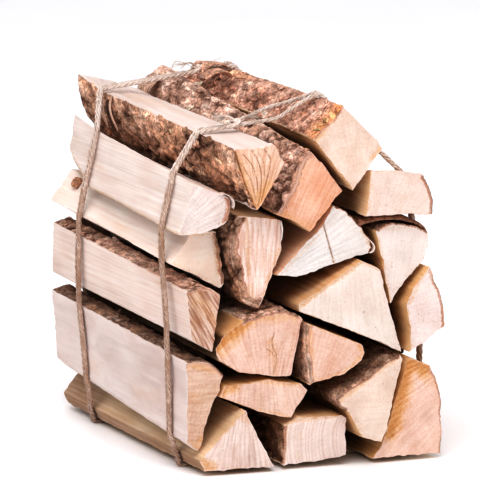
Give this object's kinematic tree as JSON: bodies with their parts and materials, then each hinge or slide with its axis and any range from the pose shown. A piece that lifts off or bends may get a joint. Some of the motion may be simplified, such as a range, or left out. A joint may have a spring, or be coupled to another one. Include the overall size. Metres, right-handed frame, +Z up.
{
  "type": "firewood bundle",
  "caption": "Bundle of split birch logs, stacked lengthways into a block and tied with two bands of jute twine knotted on top.",
  "frame": {"origin": "the middle of the bottom of the bounding box, on the surface that the bundle stands on", "axes": "+Z up; +Y along the logs, from the sawn ends in the picture to the far ends; +X to the right as seen from those sawn ends"},
  "size_m": [0.2186, 0.3274, 0.2803],
  "materials": {
    "birch": "split and sawn, raw",
    "jute": "twisted natural jute"
  },
  "bodies": {
    "root": {"log_top_left": "birch", "log_top_middle": "birch", "log_top_right": "birch", "log_left_upper": "birch", "log_left_wedge": "birch", "log_left_middle": "birch", "log_left_lower": "birch", "log_base_left": "birch", "log_upright_wedge": "birch", "log_fan_wedge": "birch", "log_right_shoulder": "birch", "log_right_upper": "birch", "log_right_middle": "birch", "log_centre_large": "birch", "log_centre_left": "birch", "log_centre_right": "birch", "log_lower_slab": "birch", "log_base_middle": "birch", "log_right_lower": "birch", "log_base_right": "birch", "twine_front": "jute", "twine_back": "jute"}
  },
  "joints": []
}
